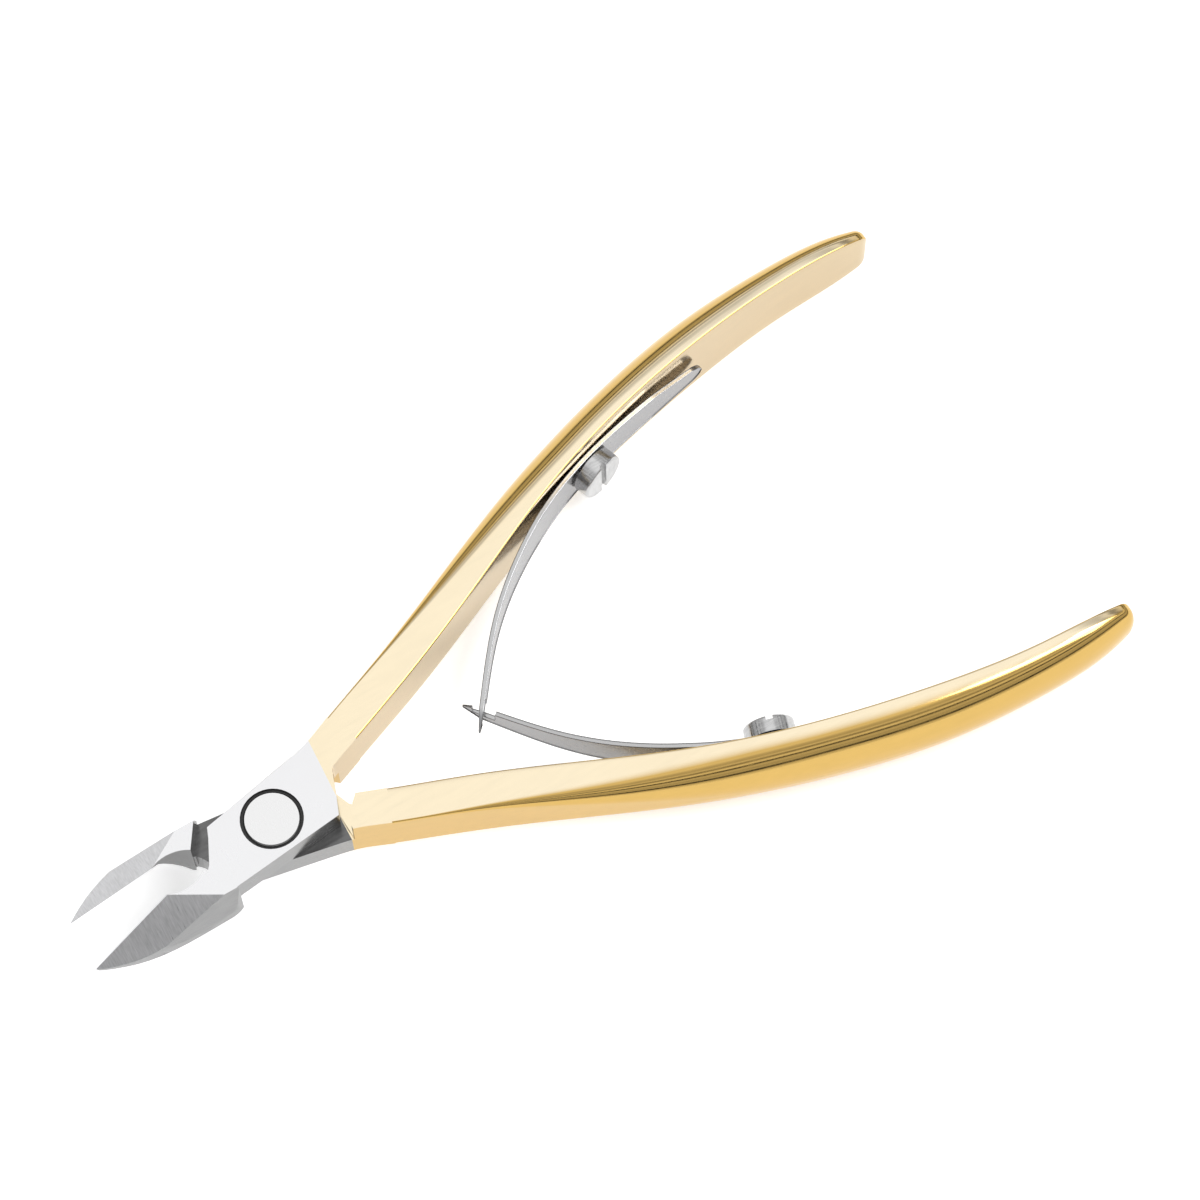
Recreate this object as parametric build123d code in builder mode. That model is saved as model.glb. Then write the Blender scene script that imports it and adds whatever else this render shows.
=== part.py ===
"""Cuticle nipper with a lap joint, two long handles and a pair of interlocking leaf springs.

Frame: the origin is on the pivot axis at the back face of the joint, +Z points out of the front
face, +X runs along the axis of symmetry to the handle ends and +Y to the handle of lever A.
Lever A is the front lever at the joint and lever B the back one. The nipper is at rest, open.
"""
import os
from math import atan2, cos, sin

from build123d import *

# Joint
THICK = 6.6                  # thickness of the joint, and of the jaws at the throat
LAP = THICK / 2              # plane in which the two plates lie on each other
LAP_GAP = 0.02               # each plate stays this far from the lap plane
MID = Axis((0, 0, LAP), (1, 0, 0))   # lever B is lever A turned half way round this axis

# Rivet
SHANK_R = 2.2
RUN_GAP = 0.05               # running clearance, in the hole of lever B
TAIL_R = 3.15
TAIL_H = 1.2
HEAD_R = 3.5
HEAD_H = 1.0
GROOVE_R = 3.5               # ring groove around the peened end
GROOVE_H = 0.4

# Jaws
TIP = (-24.2, 3.0)           # tip of a jaw, x and distance from the axis of symmetry
THROAT = (-13.9, 1.75)       # where the cutting edge starts
BEVEL_SLOPE_X = 0.50         # fall of the front bevel towards the tip
BEVEL_SLOPE_Y = 0.83         # fall of the front bevel away from the cutting edge
DRAFT = {-1: 0.10, 1: 0.29}   # lean of the back of jaw A and of jaw B towards the front
BACK_Y = {-1: 5.6, 1: 6.2}    # the backs start from here at the back face
BULGE_B = [(-22.5, 4.15), (-19.8, 5.35), (-15.5, 6.05), (-10.5, 5.85)]   # rounder back of jaw B
UNDERCUT = 0.36              # lean of the inner face behind the cutting edge
EDGE_LEAD = 0.3              # the inner face is ground from a little before the throat

# Handles: x, distance of the inner face from the axis, depth, width, height of the flat side
HANDLE = [
    (12.5, 3.40, 4.1, 6.6, 4.07),
    (22.0, 7.20, 4.2, 7.0, 3.9),
    (33.0, 12.2, 4.5, 7.5, 3.2),
    (45.0, 17.7, 4.6, 9.1, 1.8),
    (58.0, 22.1, 4.6, 10.4, 0.9),
    (70.0, 24.8, 4.6, 10.3, 0.8),
    (82.0, 26.4, 3.9, 9.4, 0.7),
    (91.5, 26.75, 2.8, 7.7, 0.6),
    (94.0, 26.8, 2.1, 6.2, 0.5),
]

# Springs
STRIP = 0.6                  # thickness of the strip
SPRING_W = 5.8               # widest part, at the screw
CROSS_X = 26.5               # where the two springs cross
NOTCH = 0.85                 # half length of the notches that interlock there
NOTCH_GAP = 0.1
SEAT_GAP = 0.13              # play under the strip and under the screw head
TIP_X = 24.9                 # point of a spring
SPRING_TAPER = [(TIP_X, 0.2), (26.2, 1.3), (34.0, 2.15), (43.0, 2.9), (52.0, 2.75), (62.0, 2.25), (68.2, 1.25)]
SPRING_PATH = [(69.5, 23.85), (61.0, 22.25), (53.0, 20.2), (45.5, 17.25), (38.7, 13.1), (32.0, 7.1),
               (CROSS_X, 0.2), (24.6, -2.3)]

# Screws
SCREW_X = 51.8
SCREW_R = 1.1
SCREW_HOLE_R = 1.15
SPRING_HOLE_R = 1.3
SCREW_DEPTH = 3.0
SCREW_HEAD_R = 2.9
SCREW_HEAD_H = 1.9
SLOT_W = 0.8
SLOT_H = 0.5


def handle_slope(i):
    """Angle of the inner face at a station."""
    a = HANDLE[max(i - 1, 0)]
    b = HANDLE[min(i + 1, len(HANDLE) - 1)]
    return atan2(b[1] - a[1], b[0] - a[0])


def handle_arm():
    """The loft of handle A, a flat inner face with a crown that grows away from the joint."""
    with BuildPart() as arm:
        for i, (x, y, depth, width, side) in enumerate(HANDLE):
            slope = handle_slope(i)
            station = Plane(origin=(x, y, LAP), x_dir=(0, 0, -1), z_dir=(cos(slope), sin(slope), 0))
            with BuildSketch(station):
                with BuildLine():
                    Polyline((width / 2, side), (width / 2, 0), (-width / 2, 0), (-width / 2, side))
                    ThreePointArc((-width / 2, side), (0, depth), (width / 2, side))
                make_face()
        loft()
    return arm.part


def plate_outline():
    """Plan of the plate of lever A with the root of its handle, from the jaw to the first station."""
    slope = handle_slope(0)
    inner = HANDLE[0][:2]
    outer = (inner[0] - HANDLE[0][2] * sin(slope), inner[1] + HANDLE[0][2] * cos(slope))
    with BuildSketch() as plan:
        with BuildLine():
            Polyline((8.4, 1.5), (7.5, -0.9), (6.45, -3.4), (-7.3, -4.9), (-10.5, -4.9), (-10.5, -2.2),
                     (-8.9, -1.7), (-8.4, -1.15), (-7.0, 1.6), (-6.5, 2.8), (4.0, 4.9))
            Spline((4.0, 4.9), (7.4, 5.72), outer, tangents=((1, 0.2), (1, 0.42)))
            Line(outer, inner)
            Spline(inner, (9.1, 2.05), (8.4, 1.5), tangents=((-1, -0.4), (-0.35, -1)))
        make_face()
    return plan.sketch


def lever_blank():
    """Lever A before its jaw is ground: plate at the front, jaw block and handle full thickness."""
    with BuildPart() as blank:
        # half lap plate, with a concave step in front of the handle
        with BuildSketch(Plane.XY.offset(LAP + LAP_GAP)):
            add(plate_outline())
        extrude(amount=LAP - LAP_GAP)
        # behind the shoulder the handle has its full thickness
        with BuildSketch(Plane.XY):
            add(plate_outline())
            with BuildLine():
                Polyline((6.9, 8), (7.0, 5.2), (8.44, 2.9), (9.8, 1.6), (14, 1.6), (14, 8), (6.9, 8))
            make_face(mode=Mode.INTERSECT)
        extrude(amount=LAP + LAP_GAP)
        add(handle_arm())
        # jaw block: wall beside the other plate, throat, inner side, tip and rounded back
        with BuildSketch(Plane.XY):
            with BuildLine():
                Polyline((-6.9, -5.0), (-9.3, -1.45))
                Spline((-9.3, -1.45), (-11.3, -2.2), (THROAT[0], -THROAT[1]), tangents=((-1, -0.7), (-1, 0.6)))
                Polyline((THROAT[0], -THROAT[1]), (THROAT[0], 0.5), (TIP[0], -TIP[1] + 0.6), (TIP[0], -TIP[1]))
                Spline((TIP[0], -TIP[1]), (-22.6, -3.8), (-19.9, -4.75), (-14.0, -5.5), (-9.2, -5.45),
                       (-6.9, -5.0), tangents=((1, -0.7), (1, 0.55)))
            make_face()
        extrude(amount=THICK)
        # rivet hole, counterbore and ring groove
        with Locations((0, 0, LAP)):
            Cylinder(SHANK_R, LAP, align=(Align.CENTER, Align.CENTER, Align.MIN), mode=Mode.SUBTRACT)
        with Locations((0, 0, THICK - TAIL_H)):
            Cylinder(TAIL_R, TAIL_H, align=(Align.CENTER, Align.CENTER, Align.MIN), mode=Mode.SUBTRACT)
        with Locations((0, 0, THICK - GROOVE_H)):
            Cylinder(GROOVE_R, GROOVE_H, align=(Align.CENTER, Align.CENTER, Align.MIN), mode=Mode.SUBTRACT)
        # hole for the spring screw, square to the inner face
        with BuildSketch(screw_plane()):
            Circle(SCREW_HOLE_R)
        extrude(amount=-SCREW_DEPTH - 0.3, mode=Mode.SUBTRACT)
    return blank.part


def screw_seat():
    """Point of the inner face under the screw and the slope there."""
    a = HANDLE[3]
    b = HANDLE[4]
    part = (SCREW_X - a[0]) / (b[0] - a[0])
    return SCREW_X, a[1] + part * (b[1] - a[1]) + 0.17, atan2(b[1] - a[1], b[0] - a[0])


def screw_plane(height=0.0):
    """Plane square to screw A, at a height over the inner face."""
    x, y, slope = screw_seat()
    out = (sin(slope), -cos(slope), 0)
    return Plane(origin=(x + height * out[0], y + height * out[1], LAP), x_dir=(cos(slope), sin(slope), 0),
                 z_dir=out)


def grind_blade(side):
    """Solids that grinding takes off a jaw: over the front bevel, inside the cutting edge, the back.

    side is -1 for the jaw of lever A and +1 for the jaw of lever B.
    """
    start = Vector(THROAT[0], side * THROAT[1], THICK)
    run = Vector(TIP[0] - THROAT[0], side * (TIP[1] - THROAT[1]), 0)
    fall = Vector(BEVEL_SLOPE_X, -side * BEVEL_SLOPE_Y, 0)
    edge = run + Vector(0, 0, fall.dot(run))
    lean = Vector(0, side * UNDERCUT, -1)
    front = BACK_Y[side] - DRAFT[side] * THICK
    with BuildPart() as over:
        with BuildSketch(Plane(origin=start, x_dir=edge, z_dir=Vector(0, 0, 1) - fall)):
            Rectangle(60, 60)
        extrude(amount=30)
    with BuildPart() as inside:
        with BuildSketch(Plane(origin=start, x_dir=edge, z_dir=side * edge.cross(lean))):
            with Locations((-EDGE_LEAD, 0)):
                Rectangle(16, 30, align=(Align.MIN, Align.CENTER))
        extrude(amount=6)
    with BuildPart() as back:
        with BuildSketch(Plane.YZ.offset(-30)):
            Polygon((side * BACK_Y[side], 0), (side * front, THICK), (side * front, 9), (side * 9, 9),
                    (side * 9, 0), align=None)
        extrude(amount=24)
    return over.part, inside.part, back.part


def spring_a_solid():
    """Leaf spring: a strip that leaves the handle, narrows to a point and is notched half through."""
    with BuildPart() as strip:
        with BuildSketch(Plane.XY.offset(LAP)):
            with BuildLine():
                Spline(*SPRING_PATH)
            trace(line_width=STRIP)
        extrude(amount=SPRING_W / 2, both=True)
        # seen square to the strip: round foot, widest at the screw, long taper to the point
        with BuildSketch(Plane.XZ):
            with BuildLine():
                Polyline(*[(x, LAP - half) for x, half in SPRING_TAPER])
                ThreePointArc((68.2, LAP - 1.25), (69.4, LAP), (68.2, LAP + 1.25))
                Polyline(*[(x, LAP + half) for x, half in SPRING_TAPER[::-1]])
                Line((TIP_X, LAP + 0.2), (TIP_X, LAP - 0.2))
            make_face()
        extrude(amount=40, both=True, mode=Mode.INTERSECT)
        with Locations((CROSS_X, 0, LAP + NOTCH_GAP)):
            Box(2 * NOTCH, 6, 5, align=(Align.CENTER, Align.CENTER, Align.MAX), mode=Mode.SUBTRACT)
        with BuildSketch(screw_plane(-2)):
            Circle(SPRING_HOLE_R)
        extrude(amount=4, mode=Mode.SUBTRACT)
    return strip.part


def screw_a_solid():
    """Slotted screw that holds spring A; the slot runs across the handle."""
    base = SEAT_GAP + STRIP + SEAT_GAP
    with BuildPart() as screw:
        with BuildSketch(screw_plane(base)):
            Circle(SCREW_HEAD_R)
        extrude(amount=SCREW_HEAD_H)
        fillet(screw.edges().sort_by(Axis((0, 0, 0), tuple(screw_plane().z_dir)))[-1], 0.3)
        with BuildSketch(screw_plane(base + SCREW_HEAD_H)):
            Rectangle(SLOT_W, 3 * SCREW_HEAD_R)
        extrude(amount=-SLOT_H, mode=Mode.SUBTRACT)
        with BuildSketch(screw_plane(base)):
            Circle(SCREW_R)
        extrude(amount=-base - SCREW_DEPTH)
    return screw.part


os.makedirs("parts", exist_ok=True)
blank = lever_blank()

# Front lever: jaw on the -Y side, handle on the +Y side
over_a, inside_a, back_a = grind_blade(-1)
with BuildPart() as lever_a:
    add(blank)
    add(over_a, mode=Mode.SUBTRACT)
    add(inside_a, mode=Mode.SUBTRACT)
    add(back_a, mode=Mode.SUBTRACT)
lever_a.part.label = "lever_a"

# Back lever: the same blank turned half way round, then ground from the front as well
over_b, inside_b, back_b = grind_blade(1)
with BuildPart() as lever_b:
    add(blank.rotate(MID, 180))
    with BuildSketch(Plane.XY):
        with BuildLine():
            Spline(TIP, *BULGE_B, (-6.9, 5.0))
            Line((-6.9, 5.0), TIP)
        make_face()
    extrude(amount=THICK)
    add(over_b, mode=Mode.SUBTRACT)
    add(inside_b, mode=Mode.SUBTRACT)
    add(back_b, mode=Mode.SUBTRACT)
    with Locations((0, 0, LAP)):
        Cylinder(SHANK_R + RUN_GAP, THICK, mode=Mode.SUBTRACT)
    Cylinder(HEAD_R + RUN_GAP, HEAD_H + LAP_GAP, align=(Align.CENTER, Align.CENTER, Align.MIN),
             mode=Mode.SUBTRACT)
lever_b.part.label = "lever_b"

# Rivet: head let into the back, shank, and a tail spread in the counterbore at the front
with BuildPart() as pivot_rivet:
    with BuildSketch(Plane.XZ):
        with BuildLine():
            Polyline((0, 0), (HEAD_R - 0.15, 0), (HEAD_R, 0.15), (HEAD_R, HEAD_H), (SHANK_R, HEAD_H),
                     (SHANK_R, THICK - TAIL_H), (TAIL_R, THICK - TAIL_H), (TAIL_R, THICK - 0.15),
                     (TAIL_R - 0.15, THICK), (0, THICK), (0, 0))
        make_face()
    revolve(axis=Axis.Z)
pivot_rivet.part.label = "pivot_rivet"

spring = spring_a_solid()
with BuildPart() as spring_a:
    add(spring)
spring_a.part.label = "spring_a"
with BuildPart() as spring_b:
    add(spring.rotate(MID, 180))
spring_b.part.label = "spring_b"

screw = screw_a_solid()
with BuildPart() as screw_a:
    add(screw)
screw_a.part.label = "screw_a"
with BuildPart() as screw_b:
    add(screw.rotate(MID, 180))
screw_b.part.label = "screw_b"

for piece in (lever_a, lever_b, pivot_rivet, spring_a, spring_b, screw_a, screw_b):
    export_step(piece.part, f"parts/{piece.part.label}.step")
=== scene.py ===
"""Cuticle nipper: smooth handles, bevelled jaws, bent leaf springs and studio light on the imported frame."""
import math

import bmesh
import bpy
import numpy as np
from mathutils import Matrix, Vector


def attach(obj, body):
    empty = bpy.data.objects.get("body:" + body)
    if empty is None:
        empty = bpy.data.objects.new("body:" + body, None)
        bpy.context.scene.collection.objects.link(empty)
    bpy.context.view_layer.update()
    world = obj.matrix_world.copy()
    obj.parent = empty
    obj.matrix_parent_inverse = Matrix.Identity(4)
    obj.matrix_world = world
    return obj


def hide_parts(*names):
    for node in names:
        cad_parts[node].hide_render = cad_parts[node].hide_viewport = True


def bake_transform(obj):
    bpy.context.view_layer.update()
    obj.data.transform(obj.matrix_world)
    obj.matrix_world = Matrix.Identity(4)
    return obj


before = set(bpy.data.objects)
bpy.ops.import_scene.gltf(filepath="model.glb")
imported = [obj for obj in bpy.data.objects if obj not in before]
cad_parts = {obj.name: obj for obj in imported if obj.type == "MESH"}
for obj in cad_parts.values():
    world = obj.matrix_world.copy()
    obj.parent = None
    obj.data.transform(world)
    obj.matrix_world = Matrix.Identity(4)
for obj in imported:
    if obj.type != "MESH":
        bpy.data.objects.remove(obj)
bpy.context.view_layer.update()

MM = 0.001
THICK = 6.6
LAP = THICK / 2
CROSS_X = 26.5

# Handle stations as in the CAD: x, distance of the inner face, depth, width
HANDLE = [
    (12.5, 3.40, 4.1, 6.6),
    (22.0, 7.20, 4.2, 7.0),
    (33.0, 12.2, 4.5, 7.5),
    (45.0, 17.7, 4.6, 9.1),
    (58.0, 22.1, 4.6, 10.4),
    (70.0, 24.8, 4.6, 10.3),
    (82.0, 26.4, 3.9, 9.4),
    (91.5, 26.75, 2.8, 7.7),
    (94.0, 26.8, 2.1, 6.2),
]
CROWN_FROM = 14.0            # the outer face starts to round here
CROWN_FULL = 52.0            # and is a full half oval from here on
EDGE = 0.22                  # radius along the edges of the handle
CAP = 1.1                    # length of the rounded end

SPRING_PATH = [(69.5, 23.85), (61.0, 22.25), (53.0, 20.2), (45.5, 17.25), (38.7, 13.1), (32.0, 7.1),
               (CROSS_X, 0.2), (24.6, -2.3)]
STRIP = 0.6
NOTCH = 0.85
# half width of a spring against x
SPRING_WIDTH = [(24.9, 0.2), (26.2, 1.3), (34.0, 2.15), (43.0, 2.9), (52.0, 2.75), (62.0, 2.25), (68.2, 1.25),
                (69.0, 0.8), (69.4, 0.05)]


# ---------------------------------------------------------------- curves

def cubic(xs, ys, first=None):
    """Natural cubic spline through the points, or one that starts with slope first."""
    n = len(xs)
    h = np.diff(xs)
    a = np.zeros((n, n))
    b = np.zeros(n)
    a[0, 0] = a[-1, -1] = 1.0
    if first is not None:
        a[0, :2] = 2 * h[0], h[0]
        b[0] = 6 * ((ys[1] - ys[0]) / h[0] - first)
    for i in range(1, n - 1):
        a[i, i - 1:i + 2] = h[i - 1], 2 * (h[i - 1] + h[i]), h[i]
        b[i] = 6 * ((ys[i + 1] - ys[i]) / h[i] - (ys[i] - ys[i - 1]) / h[i - 1])
    m = np.linalg.solve(a, b)

    def value(x):
        i = int(np.clip(np.searchsorted(xs, x) - 1, 0, n - 2))
        l, r = xs[i + 1] - x, x - xs[i]
        return ((m[i] * l ** 3 + m[i + 1] * r ** 3) / (6 * h[i]) + (ys[i] / h[i] - m[i] * h[i] / 6) * l
                + (ys[i + 1] / h[i] - m[i + 1] * h[i] / 6) * r)
    return value


def smooth(t):
    t = min(max(t, 0.0), 1.0)
    return t * t * (3 - 2 * t)


station_x = [s[0] for s in HANDLE]
START_SLOPE = (HANDLE[1][1] - HANDLE[0][1]) / (HANDLE[1][0] - HANDLE[0][0])
inner_y = cubic(station_x, [s[1] for s in HANDLE], START_SLOPE)
depth_of = cubic(station_x, [s[2] for s in HANDLE], 0.0)
width_of = cubic(station_x, [s[3] for s in HANDLE], 0.0)


# ---------------------------------------------------------------- meshes

def new_object(name, bm, materials):
    bmesh.ops.recalc_face_normals(bm, faces=bm.faces[:])
    mesh = bpy.data.meshes.new(name)
    bm.to_mesh(mesh)
    bm.free()
    piece = bpy.data.objects.new(name, mesh)
    bpy.context.scene.collection.objects.link(piece)
    for material in materials:
        mesh.materials.append(material)
    return piece


def loft(bm, rings):
    """Skin over closed rings with the same number of points."""
    loops = [[bm.verts.new(p) for p in ring] for ring in rings]
    for one, two in zip(loops, loops[1:]):
        for i in range(len(one)):
            j = (i + 1) % len(one)
            bm.faces.new((one[i], one[j], two[j], two[i]))
    return loops


def handle_section(depth, width, crown):
    """Outline (across, out) of the handle: flat inner face, small edge radii, crowned outer face."""
    half = width / 2
    rx = EDGE + (half - EDGE) * crown
    ry = EDGE + (depth - 0.75 - EDGE) * crown
    points = [(-half + EDGE + (width - 2 * EDGE) * i / 12, 0.0) for i in range(13)]
    points += [(half - EDGE + EDGE * math.sin(a), EDGE - EDGE * math.cos(a))
               for a in (math.pi / 10 * k for k in range(1, 6))]
    points += [(half, EDGE + (depth - ry - EDGE) * i / 5) for i in range(1, 5)]
    points += [(half - rx + rx * math.cos(a), depth - ry + ry * math.sin(a))
               for a in (math.pi / 2 * k / 18 for k in range(19))]
    if rx < half - 0.01:
        flat = half - rx
        points += [(flat - 2 * flat * i / 8, depth) for i in range(1, 8)]
    else:
        points += [(0.01 - 0.02 * i / 8, depth) for i in range(1, 8)]
    points += [(-half + rx - rx * math.sin(a), depth - ry + ry * math.cos(a))
               for a in (math.pi / 2 * k / 18 for k in range(19))]
    points += [(-half, depth - ry - (depth - ry - EDGE) * i / 5) for i in range(1, 5)]
    points += [(-half + EDGE - EDGE * math.cos(a), EDGE - EDGE * math.sin(a))
               for a in (math.pi / 10 * k for k in range(1, 5))]
    return points


def handle_ring(x, size=1.0):
    """Ring of handle A at x, made smaller about its middle for the rounded end."""
    dx = 0.05
    slope = START_SLOPE if x <= station_x[0] + dx else (inner_y(x) - inner_y(x - dx)) / dx
    run = math.hypot(1, slope)
    out = Vector((-slope / run, 1 / run, 0))
    base = Vector((x, inner_y(x), LAP))
    depth, width = depth_of(x), width_of(x)
    crown = smooth((x - CROWN_FROM) / (CROWN_FULL - CROWN_FROM))
    middle = Vector((0, depth * 0.45))
    ring = []
    for point in handle_section(depth, width, crown):
        p = middle.lerp(Vector(point), size)
        ring.append((base + Vector((0, 0, -p.x)) + out * p.y) * MM)
    return ring


def handle_rings():
    end = station_x[-1]
    xs = [station_x[0] + (end - CAP - station_x[0]) * i / 230 for i in range(231)]
    rings = [handle_ring(x) for x in xs]
    for k in range(1, 9):
        a = math.pi / 2 * k / 8
        rings.append(handle_ring(end - CAP + CAP * math.sin(a), 1 - 0.45 * (1 - math.cos(a))))
    return rings


def turned(bm):
    """Half a turn round the axis of symmetry, which makes lever B's side from lever A's."""
    centre = Vector((0, 0, LAP * MM))
    bmesh.ops.rotate(bm, verts=bm.verts[:], cent=centre, matrix=Matrix.Rotation(math.pi, 3, "X"))


GOLD, FACE, BEVEL, WALL, GROOVE_SHADE, LAP_PAINTED_SHADE, INSIDE = range(7)


def lever(name, side):
    """One lever: the CAD's joint and jaw with dressed edges, and a smooth handle."""
    x, y = HANDLE[0][:2]
    run = Vector((1, START_SLOPE, 0)).normalized()
    cut = Vector((x, y, LAP)) * MM

    bm = bmesh.new()
    bm.from_mesh(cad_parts[name].data)
    if side > 0:
        turned(bm)
    bmesh.ops.remove_doubles(bm, verts=bm.verts[:], dist=2e-6)
    geometry = bm.verts[:] + bm.edges[:] + bm.faces[:]
    bmesh.ops.bisect_plane(bm, geom=geometry, plane_co=cut, plane_no=run, clear_outer=True)
    bmesh.ops.dissolve_limit(bm, angle_limit=math.radians(0.6), verts=bm.verts[:], edges=bm.edges[:])
    sharp = [e for e in bm.edges if len(e.link_faces) == 2 and e.calc_face_angle(0) > math.radians(35)]
    bmesh.ops.bevel(bm, geom=sharp, offset=0.13 * MM, offset_type="OFFSET", segments=3, profile=0.5,
                    affect="EDGES", clamp_overlap=True)
    # line across the plates where the plating ends
    reach, tilt = (7.4, -0.08) if side < 0 else (7.0, 0.06)
    geometry = bm.verts[:] + bm.edges[:] + bm.faces[:]
    bmesh.ops.bisect_plane(bm, geom=geometry, plane_co=Vector((reach, 0, LAP)) * MM,
                           plane_no=Vector((1, tilt, 0)))
    loft(bm, handle_rings())
    bmesh.ops.holes_fill(bm, edges=[e for e in bm.edges if e.is_boundary and e.verts[0].co.x > 93 * MM],
                         sides=0)
    if side > 0:
        turned(bm)
    bm.normal_update()

    bevel_normal = Vector((-0.50, 0.83 * side, 1.0)).normalized()
    bmesh.ops.recalc_face_normals(bm, faces=bm.faces[:])
    for face in bm.faces:
        face.smooth = True
        centre = face.calc_center_median() / MM
        if centre.x > reach + tilt * centre.y * side:
            # Painted light: inner faces take a separately tinted copy of the gold, standing in for the light they
            # catch.
            face.material_index = INSIDE if face.normal.y * side > 0.8 else GOLD
        elif face.normal.dot(bevel_normal) > 0.985 and centre.x < -8:
            face.material_index = BEVEL
        elif math.hypot(centre.x, centre.y) < 3.7 and THICK - 0.6 < centre.z < THICK - 0.04:
            # Painted shade: the recess walls round the rivet are painted near black for the shade inside them.
            face.material_index = GROOVE_SHADE
        elif centre.x < -12 and 0.4 < abs(face.normal.z) < 0.9:
            face.material_index = BEVEL
        elif side > 0 and face.normal.z > 0.9 and centre.z < LAP + 0.1:
            # Painted shade: lever B's lap face under lever A is painted near black for the shade in that narrow gap.
            face.material_index = LAP_PAINTED_SHADE
        elif abs(face.normal.z) > 0.9:
            face.material_index = FACE
        else:
            # Painted shade: side walls take a darker copy of the steel.
            face.material_index = WALL
    piece = new_object(name + "_body", bm, [gold, steel_face, steel_bevel, steel_wall_painted_shade, groove_shade_paint, steel_lap_painted_shade,
                                             gold_inside_painted_tone])
    piece.data.set_sharp_from_angle(angle=math.radians(14))
    dress = piece.modifiers.new("flat faces stay flat", "WEIGHTED_NORMAL")
    dress.keep_sharp = True
    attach(piece, name)
    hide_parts(name)
    return piece


def spring(name, side):
    """Bent strip with rounded edges, a tapering point and a notch that takes the other strip."""
    xs = [p[0] for p in SPRING_PATH][::-1]
    line = cubic(xs, [p[1] for p in SPRING_PATH][::-1])
    wx = [p[0] for p in SPRING_WIDTH]
    wy = [p[1] for p in SPRING_WIDTH]
    stations = list(np.linspace(24.95, 69.38, 150))
    for edge in (CROSS_X - NOTCH, CROSS_X + NOTCH):
        stations += [edge - 0.01, edge + 0.01]
    stations = sorted(stations)
    rings = []
    for x in stations:
        slope = (line(x + 0.05) - line(x - 0.05)) / 0.1
        normal = Vector((-slope, 1, 0)).normalized()
        base = Vector((x, line(x), LAP))
        half_t = STRIP / 2 * 0.97 * min(1.0, 0.3 + (x - 24.9) / 2.2)
        high = float(np.interp(x, wx, wy))
        low = 0.1 if abs(x - CROSS_X) < NOTCH else -high
        high = max(high, low + 0.05)
        e = min(0.09, (high - low) / 2.2, half_t * 0.8)
        quarter = [(e * (1 - math.sin(a)), e * (1 - math.cos(a))) for a in (math.pi / 6 * k for k in range(4))]
        top = [(high - p, half_t - q) for p, q in quarter]
        foot = [(low + p, half_t - q) for p, q in quarter]
        ring = foot + top[::-1] + [(z, -n) for z, n in top] + [(z, -n) for z, n in foot[::-1]]
        rings.append([(base + normal * n + Vector((0, 0, z))) * MM for z, n in ring])
    bm = bmesh.new()
    loops = loft(bm, rings)
    bm.faces.new(loops[0])
    bm.faces.new(loops[-1])
    if side > 0:
        turned(bm)
    for face in bm.faces:
        face.smooth = True
    piece = new_object(name + "_strip", bm, [spring_steel])
    piece.data.set_sharp_from_angle(angle=math.radians(50))
    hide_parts(name)
    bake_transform(piece)
    return piece


# ---------------------------------------------------------------- materials

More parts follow.
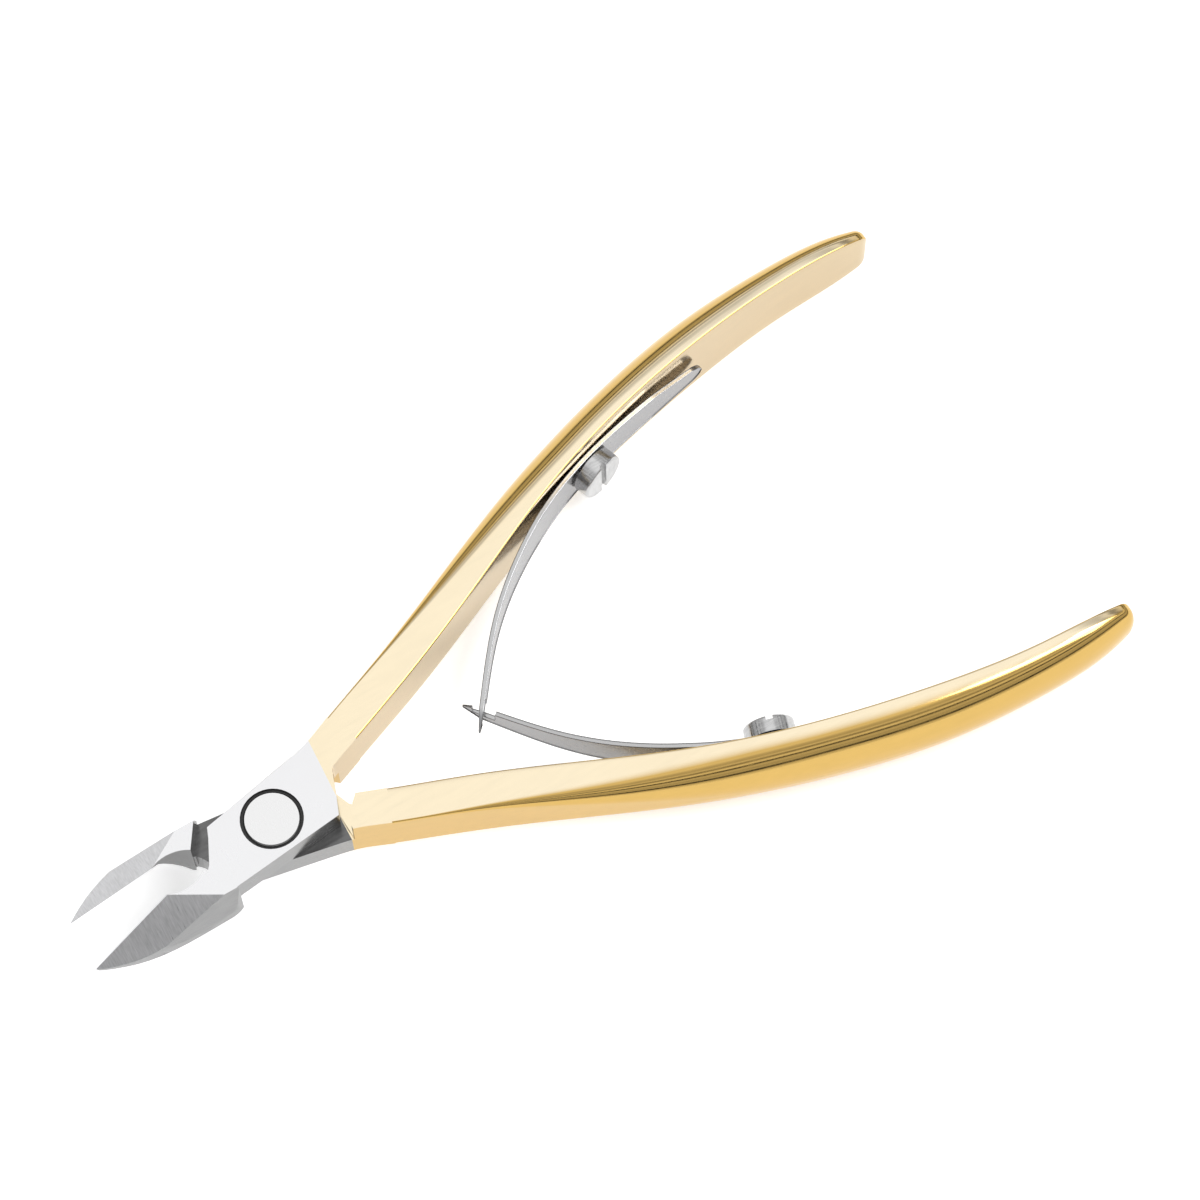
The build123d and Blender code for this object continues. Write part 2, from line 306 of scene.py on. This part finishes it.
def metal(name, colour, front, roughness, variation, stretch, grain, relief_height, contrast):
    """Metal with streaks along one direction, patchy gloss and fine relief.

    colour is the tone of the sides and front that of the faces square to the pivot; the paler front tone is painted
    light, standing in for the brighter light those faces catch. stretch makes the streaks long where it is small.
    """
    material = bpy.data.materials.new(name)
    material.use_nodes = True
    nodes = material.node_tree.nodes
    link = material.node_tree.links.new
    shader = nodes["Principled BSDF"]
    shader.inputs["Metallic"].default_value = 1.0
    place = nodes.new("ShaderNodeTexCoord")
    mapping = nodes.new("ShaderNodeMapping")
    mapping.inputs["Scale"].default_value = stretch
    link(place.outputs["Object"], mapping.inputs["Vector"])
    streak = nodes.new("ShaderNodeTexNoise")
    streak.inputs["Scale"].default_value = grain
    streak.inputs["Detail"].default_value = 6.0
    streak.inputs["Roughness"].default_value = 0.6
    link(mapping.outputs["Vector"], streak.inputs["Vector"])
    patch = nodes.new("ShaderNodeTexNoise")
    patch.inputs["Scale"].default_value = 180.0
    patch.inputs["Detail"].default_value = 4.0
    link(place.outputs["Object"], patch.inputs["Vector"])
    both = nodes.new("ShaderNodeMix")
    both.data_type = "FLOAT"
    both.inputs[0].default_value = 0.4
    link(streak.outputs["Fac"], both.inputs[2])
    link(patch.outputs["Fac"], both.inputs[3])
    rough = nodes.new("ShaderNodeMapRange")
    rough.inputs["From Min"].default_value = 0.35
    rough.inputs["From Max"].default_value = 0.65
    rough.inputs["To Min"].default_value = roughness - variation
    rough.inputs["To Max"].default_value = roughness + variation
    link(both.outputs[0], rough.inputs["Value"])
    link(rough.outputs["Result"], shader.inputs["Roughness"])

    # Painted light: faces square to the pivot get the paler front tone and the sides the darker one, standing in for
    # how the light falls.
    facing = nodes.new("ShaderNodeSeparateXYZ")
    link(place.outputs["Normal"], facing.inputs["Vector"])
    square = nodes.new("ShaderNodeMath")
    square.operation = "ABSOLUTE"
    link(facing.outputs["Z"], square.inputs[0])
    facing_painted_light = nodes.new("ShaderNodeValToRGB")
    facing_painted_light.color_ramp.elements[0].position = 0.94
    facing_painted_light.color_ramp.elements[1].position = 0.9995
    facing_painted_light.color_ramp.elements[0].color = (*colour, 1)
    facing_painted_light.color_ramp.elements[1].color = (*front, 1)
    link(square.outputs["Value"], facing_painted_light.inputs["Fac"])
    shade = nodes.new("ShaderNodeMapRange")
    shade.inputs["From Min"].default_value = 0.3
    shade.inputs["From Max"].default_value = 0.7
    shade.inputs["To Min"].default_value = 1.0 - contrast
    shade.inputs["To Max"].default_value = 1.0 + contrast * 0.4
    link(both.outputs[0], shade.inputs["Value"])
    tone = nodes.new("ShaderNodeVectorMath")
    tone.operation = "SCALE"
    link(facing_painted_light.outputs["Color"], tone.inputs["Vector"])
    link(shade.outputs["Result"], tone.inputs["Scale"])
    link(tone.outputs["Vector"], shader.inputs["Base Color"])

    relief = nodes.new("ShaderNodeBump")
    relief.inputs["Strength"].default_value = 0.6
    relief.inputs["Distance"].default_value = relief_height * MM
    link(streak.outputs["Fac"], relief.inputs["Height"])
    link(relief.outputs["Normal"], shader.inputs["Normal"])
    return material


ALONG = (0.12, 1, 1)
ACROSS = (1, 0.10, 0.10)
# Each metal below has a side tone and a paler front tone; the split between them is painted light.
gold = metal("gold_plating", (0.58, 0.38, 0.115), (0.84, 0.73, 0.53), 0.11, 0.04, ALONG, 1500, 0.0012, 0.05)
# Painted light: the same gold plating, paler and less saturated, for the light on the inner faces.
gold_inside_painted_tone = metal("gold_inside_painted_light", (0.56, 0.44, 0.27), (0.84, 0.73, 0.53), 0.16, 0.05, ALONG, 1500, 0.0015, 0.06)
steel_face = metal("steel_ground_face", (0.50, 0.50, 0.51), (0.78, 0.78, 0.79), 0.24, 0.05, ACROSS, 5000, 0.0012, 0.05)
steel_bevel = metal("steel_ground_bevel", (0.53, 0.53, 0.54), (0.53, 0.53, 0.54), 0.34, 0.08, ACROSS, 6500, 0.006, 0.35)
# Painted shade: a darker copy of the ground steel, standing in for the shade on walls turned away from the light.
steel_wall_painted_shade = metal("steel_wall_painted_shade", (0.28, 0.28, 0.28), (0.45, 0.45, 0.45), 0.22, 0.08, ALONG, 4000, 0.004, 0.20)
# Painted shade: near black steel standing in for the shade on the lap face in the gap between the levers.
steel_lap_painted_shade = metal("steel_lap_painted_shade", (0.14, 0.14, 0.14), (0.16, 0.16, 0.16), 0.20, 0.06, ALONG, 3000, 0.004, 0.40)
# Painted shade: near black metal standing in for the shade inside the recess round the rivet.
groove_shade_paint = metal("groove_painted_shade", (0.07, 0.07, 0.07), (0.07, 0.07, 0.07), 0.5, 0.1, (1, 1, 1), 2000, 0.002, 0.2)
rivet_steel = metal("rivet_steel", (0.25, 0.25, 0.25), (0.78, 0.78, 0.78), 0.26, 0.05, ACROSS, 5000, 0.0012, 0.05)
spring_steel = metal("spring_steel", (0.34, 0.34, 0.35), (0.50, 0.50, 0.50), 0.24, 0.07, (0.3, 0.3, 1), 4000, 0.003, 0.12)
screw_steel = metal("screw_steel", (0.54, 0.54, 0.54), (0.62, 0.62, 0.62), 0.20, 0.07, (0.15, 1, 0.15), 5000, 0.006, 0.30)

lever("lever_a", -1)
lever("lever_b", 1)
spring("spring_a", -1)
spring("spring_b", 1)

for node, material in (("pivot_rivet", rivet_steel), ("screw_a", screw_steel), ("screw_b", screw_steel)):
    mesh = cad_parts[node].data
    mesh.materials.clear()
    mesh.materials.append(material)


# ---------------------------------------------------------------- studio

def emitter(name, centre, size, aim, strength, colour=(1, 1, 1)):
    lamp = bpy.data.lights.new(name, "AREA")
    lamp.shape = "RECTANGLE"
    lamp.size, lamp.size_y = size
    lamp.energy = strength
    lamp.color = colour
    holder = bpy.data.objects.new(name, lamp)
    holder.location = centre
    direction = Vector(aim) - Vector(centre)
    holder.rotation_euler = direction.to_track_quat("-Z", "Y").to_euler()
    bpy.context.scene.collection.objects.link(holder)
    return holder


centre = Vector((0.035, 0, LAP * MM))

floor_mesh = bpy.data.meshes.new("floor")
half = 1.5
floor_mesh.from_pydata([(-half, -half, 0), (half, -half, 0), (half, half, 0), (-half, half, 0)], [], [(0, 1, 2, 3)])
floor = bpy.data.objects.new("floor", floor_mesh)
floor.location = (0, 0, -0.0021)
paint = bpy.data.materials.new("floor_paint")
paint.use_nodes = True
paint.node_tree.nodes["Principled BSDF"].inputs["Base Color"].default_value = (0.93, 0.93, 0.93, 1)
paint.node_tree.nodes["Principled BSDF"].inputs["Roughness"].default_value = 0.9
paint.node_tree.nodes["Principled BSDF"].inputs["Emission Color"].default_value = (1, 1, 1, 1)
paint.node_tree.nodes["Principled BSDF"].inputs["Emission Strength"].default_value = 0.45
floor_mesh.materials.append(paint)
bpy.context.scene.collection.objects.link(floor)

# A white room, brightest overhead, with a dark band just above the horizon that draws thin
# dark lines along the polished handles.
world = bpy.data.worlds.new("studio")
world.use_nodes = True
room = world.node_tree.nodes
wire = world.node_tree.links.new
direction = room.new("ShaderNodeTexCoord")
height = room.new("ShaderNodeSeparateXYZ")
wire(direction.outputs["Generated"], height.inputs["Vector"])
band = room.new("ShaderNodeValToRGB")
ROOM = [(0.0, 0.80), (0.08, 0.80), (0.12, 0.03), (0.18, 0.03), (0.23, 0.70), (0.30, 0.45), (0.38, 0.70),
        (0.44, 0.65), (0.47, 0.02), (0.51, 0.02), (0.54, 1.0), (0.60, 0.95), (0.64, 0.32), (0.69, 0.32),
        (0.72, 0.95), (0.78, 0.55), (0.84, 0.65), (0.89, 1.0), (1.0, 1.0)]
while len(band.color_ramp.elements) < len(ROOM):
    band.color_ramp.elements.new(1.0)
for element, (place_on, level) in zip(band.color_ramp.elements, ROOM):
    element.position = place_on
    element.color = (level, level, level, 1)
wire(height.outputs["Z"], band.inputs["Fac"])
wire(band.outputs["Color"], room["Background"].inputs["Color"])
room["Background"].inputs["Strength"].default_value = 1.2
bpy.context.scene.world = world
bpy.context.scene.view_settings.view_transform = "Standard"

emitter("soft_side", (0.5, -0.3, 0.75), (0.4, 0.4), centre, 3)

camera_data = bpy.data.cameras.new("camera")
camera_data.sensor_width = 36
camera_data.lens = 120
camera = bpy.data.objects.new("camera", camera_data)
forward = Vector((0.19438, 0.34441, -0.91847))
up = Vector((0.47736, 0.78477, 0.3953))
right = forward.cross(up).normalized()
up = right.cross(forward).normalized()
turn = Matrix((right, up, -forward)).transposed().to_4x4()
camera.matrix_world = Matrix.Translation(Vector((-42.6, -149.5, 415.0)) * MM) @ turn
bpy.context.scene.collection.objects.link(camera)
bpy.context.scene.camera = camera
